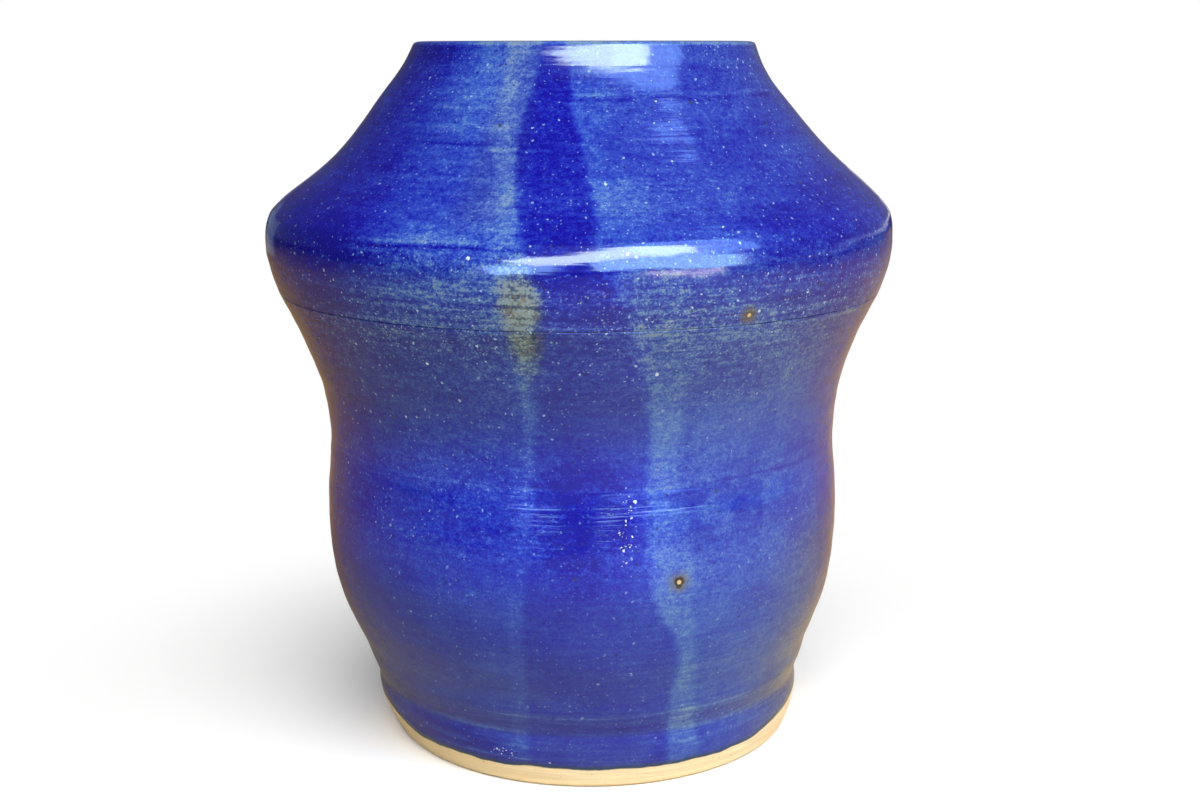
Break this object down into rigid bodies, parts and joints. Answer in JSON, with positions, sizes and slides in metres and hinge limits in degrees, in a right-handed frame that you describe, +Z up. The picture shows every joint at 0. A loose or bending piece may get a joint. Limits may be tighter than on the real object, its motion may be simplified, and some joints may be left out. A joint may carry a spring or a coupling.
{
  "type": "butter crock",
  "caption": "Closed two-part butter keeper: a waisted, glazed base for water, and a cone lid with a bell hung under it for the butter.",
  "frame": {"origin": "middle of the foot's underside, on the surface that the crock stands on", "axes": "+Z up the axis that the crock was thrown on; -Y is the side in the picture"},
  "size_m": [0.1168, 0.1168, 0.13],
  "materials": {
    "cobalt_glaze": "glossy cobalt glaze over buff stoneware, bare clay at the foot and in the seat"
  },
  "bodies": {
    "base": {"crock_base": "cobalt_glaze"},
    "lid": {"lid_cap": "cobalt_glaze", "butter_bell": "cobalt_glaze"}
  },
  "joints": [
    {"name": "lid_lift", "type": "slide", "parent": "base", "child": "lid", "axis": [0, 0, 1], "range_m": [0, 0.075]}
  ]
}
